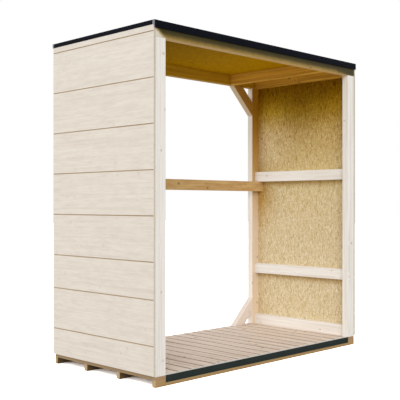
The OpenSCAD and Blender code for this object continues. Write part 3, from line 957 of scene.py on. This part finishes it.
# Slate granules about 1 mm across, drawn at 3 mm so that they show, pressed into black bitumen: a
# dry dark grey that sparkles a little from grain to grain.
felt_material, tree = new_material("slated_bitumen_felt")
place = add(tree, "TexCoord").outputs["Object"]
grit = add(tree, "TexVoronoi", {"Scale": GRIT_SCALE, "Vector": place})
grit_tone = add(tree, "SeparateColor", {0: grit.outputs["Color"]})
slates = [(0, linear(0x2E3033)), (0.6, linear(0x45484C)), (1, linear(0x6A6E72))]
slate = add(tree, "ValToRGB", {"stops": slates, 0: grit_tone.outputs[0]})
weather = add(tree, "TexNoise", {"Scale": WEATHER_SCALE, "Detail": 5, "Vector": place})
worn = add(tree, "MapRange", {0: weather, 1: 0.4, 2: 0.75, 4: WEATHERED_SHARE})
colour = add(tree, "Mix", {**BLEND, 0: worn, 6: slate, 7: linear(WEATHERED)})
bump = add(tree, "Bump", {"Strength": 0.5, "Distance": GRIT_RELIEF, "Height": grit.outputs["Distance"]})
shader = add(tree, "BsdfPrincipled", {"Roughness": 0.9, "IOR": 1.5, "Specular IOR Level": 0.2,
                                      "Base Color": colour, "Normal": bump})
add(tree, "OutputMaterial", {"Surface": shader})

felt_low, felt_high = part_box("roof_cover")
depth = felt_high.y - felt_low.y
shape = bmesh.new()
for index in range(FELT_LAPS):
    # the middle length lies lower, because the other two overlap it
    low = Vector((felt_low.x, felt_low.y + depth * index / FELT_LAPS, felt_low.z))
    high = Vector((felt_high.x, felt_low.y + depth * (index + 1) / FELT_LAPS,
                   felt_high.z - (index % 2) * LAP_STEP))
    cube = bmesh.ops.create_cube(shape, size=1)["verts"]
    bmesh.ops.scale(shape, vec=high - low, verts=cube)
    bmesh.ops.translate(shape, vec=(low + high) / 2, verts=cube)
    edges = list({edge for vert in cube for edge in vert.link_edges})
    bmesh.ops.bevel(shape, geom=edges, offset=FELT_EASE, affect="EDGES", segments=1, profile=0.5, material=-1)
finish_piece(shape, "roof_felt", ["roof_cover"], [felt_material])


# ---- Roof edging ----
# Folded steel edging, painted almost black, closes the four sides of the roof. The long pieces hang
# deeper than the end pieces and are folded round the corners, which are painted galvanised grey as
# a painted highlight of the folds.
EDGE_SHEET = 0.7 * MM
EDGE_BEND = 0.6 * MM
EDGE_HEM = 7 * MM
HEM_DEPTH = 2.2 * EDGE_SHEET  # the hem lies this far behind the outer face
CORNER_WRAP = 13 * MM  # along the end pieces
CORNER_FRONT = 5.5 * MM  # along the long pieces
END_DROP = 0.75 * MM  # the end pieces' top legs run in under those of the long pieces
EDGE_SCREWS = 7
EDGE_SCREW_RISE = 0.4 * MM
SPANGLE_SCALE = 1000 / 3  # spangles of 3 mm

# Powder-coated steel: nearly black with a blue cast, satin, with little dust on top.
edge_steel = coated_steel("navy_coated_steel", 0x0D1018, 0x6B7078, dust_and_sheen_share=0.3)

# Galvanised steel: mid grey, with soft spangles that differ a little in tone and gloss. Its grey at
# the corners is a painted highlight, for the light that the rounded folds catch.
corner_highlight_steel, tree = new_material("corner_highlight_galvanised_steel")
place = add(tree, "TexCoord").outputs["Object"]
spangle = add(tree, "TexVoronoi", {"Scale": SPANGLE_SCALE, "Vector": place})
chance = add(tree, "SeparateColor", {0: spangle.outputs["Color"]})
tint = add(tree, "ValToRGB", {"stops": [(0, linear(0x64686A)), (1, linear(0x85898B))], 0: chance.outputs[0]})
rough = add(tree, "MapRange", {0: chance.outputs[1], 3: 0.4, 4: 0.6})
shader = add(tree, "BsdfPrincipled", {"Metallic": 0.35, "Base Color": tint, "Roughness": rough})
add(tree, "OutputMaterial", {"Surface": shader})

EDGES = {  # the way that each piece looks and runs, how much its ends leave free, how low its top leg is
    "front_roof_trim": (-Y_AXIS, X_AXIS, CORNER_FRONT, 0),
    "rear_roof_trim": (Y_AXIS, X_AXIS, CORNER_FRONT, 0),
    "left_roof_trim": (-X_AXIS, Y_AXIS, CORNER_WRAP, END_DROP),
    "right_roof_trim": (X_AXIS, Y_AXIS, CORNER_WRAP, END_DROP)}
for name, (outward, along, free, drop) in EDGES.items():
    low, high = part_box(name)
    faces_low = outward.x + outward.y < 0
    face, back = (low, high) if faces_low else (high, low)
    start = (low.dot(along) + free) * along
    across = Vector((abs(outward.x), abs(outward.y), 0))
    section = [(face.dot(across) * across - HEM_DEPTH * outward, low.z + EDGE_HEM),
               (face.dot(across) * across - HEM_DEPTH * outward, low.z),
               (face.dot(across) * across, low.z),
               (face.dot(across) * across, high.z - drop),
               (back.dot(across) * across, high.z - drop)]
    outline = [start + point + height * Z_AXIS for point, height in section]
    length = (high - low).dot(along) - 2 * free
    folded_piece(name + "_sheet", name, outline, along, length, EDGE_SHEET, EDGE_BEND, outward, edge_steel)

# The corner folds: the front and rear pieces' ends, lapped round the corners and painted galvanised
# grey as a painted highlight.
shape = bmesh.new()
for end, front_way in (("front", -1), ("rear", 1)):
    long_low, long_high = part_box(f"{end}_roof_trim")
    face_y = long_low.y if front_way < 0 else long_high.y
    for side, side_way in (("left", -1), ("right", 1)):
        side_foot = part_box(f"{side}_roof_trim")[0].z
        face_x = long_low.x if side_way < 0 else long_high.x
        near_x, near_y = face_x - side_way * CORNER_FRONT, face_y - front_way * CORNER_WRAP
        foot, head = long_low.z, long_high.z - EDGE_SHEET
        corner = bmesh.new()
        head_point = corner.verts.new((face_x, face_y, head))
        long_head = corner.verts.new((near_x, face_y, head))
        side_head = corner.verts.new((face_x, near_y, head))
        # the side's leg stops at the end piece's lower edge, which may be above the long piece's
        step = corner.verts.new((face_x, face_y, side_foot))
        lower = [step]
        if side_foot - foot > MM:
            lower.append(corner.verts.new((face_x, face_y, foot)))
        corner.faces.new([head_point, *lower, corner.verts.new((near_x, face_y, foot)), long_head])
        corner.faces.new([step, head_point, side_head, corner.verts.new((face_x, near_y, side_foot))])
        corner.faces.new([head_point, long_head, corner.verts.new((near_x, near_y, head)), side_head])
        bmesh.ops.recalc_face_normals(corner, faces=corner.faces)
        if corner.faces[:][0].normal.dot(Vector((0, front_way, 0))) < 0:
            bmesh.ops.reverse_faces(corner, faces=corner.faces)
        bmesh.ops.solidify(corner, geom=corner.faces, thickness=EDGE_SHEET)
        folded = bpy.data.meshes.new("corner")
        corner.to_mesh(folded)
        corner.free()
        shape.from_mesh(folded)
        bpy.data.meshes.remove(folded)
finish_piece(shape, "roof_corner_folds", [], [corner_highlight_steel])

# Zinc-plated screws hold the edging's top leg down.
shape = bmesh.new()
for end in ("front", "rear"):
    low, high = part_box(f"{end}_roof_trim")
    row = (low.y + high.y) / 2
    for index in range(EDGE_SCREWS):
        place = low.x + (index + 0.5) / EDGE_SCREWS * (high.x - low.x)
        drive_nail(shape, Vector((place, row, high.z - EDGE_SCREW_RISE)), Z_AXIS, SCREW_HEAD, EDGE_SCREW_RISE)
finish_piece(shape, "edging_screws", [], [zinc_nail])
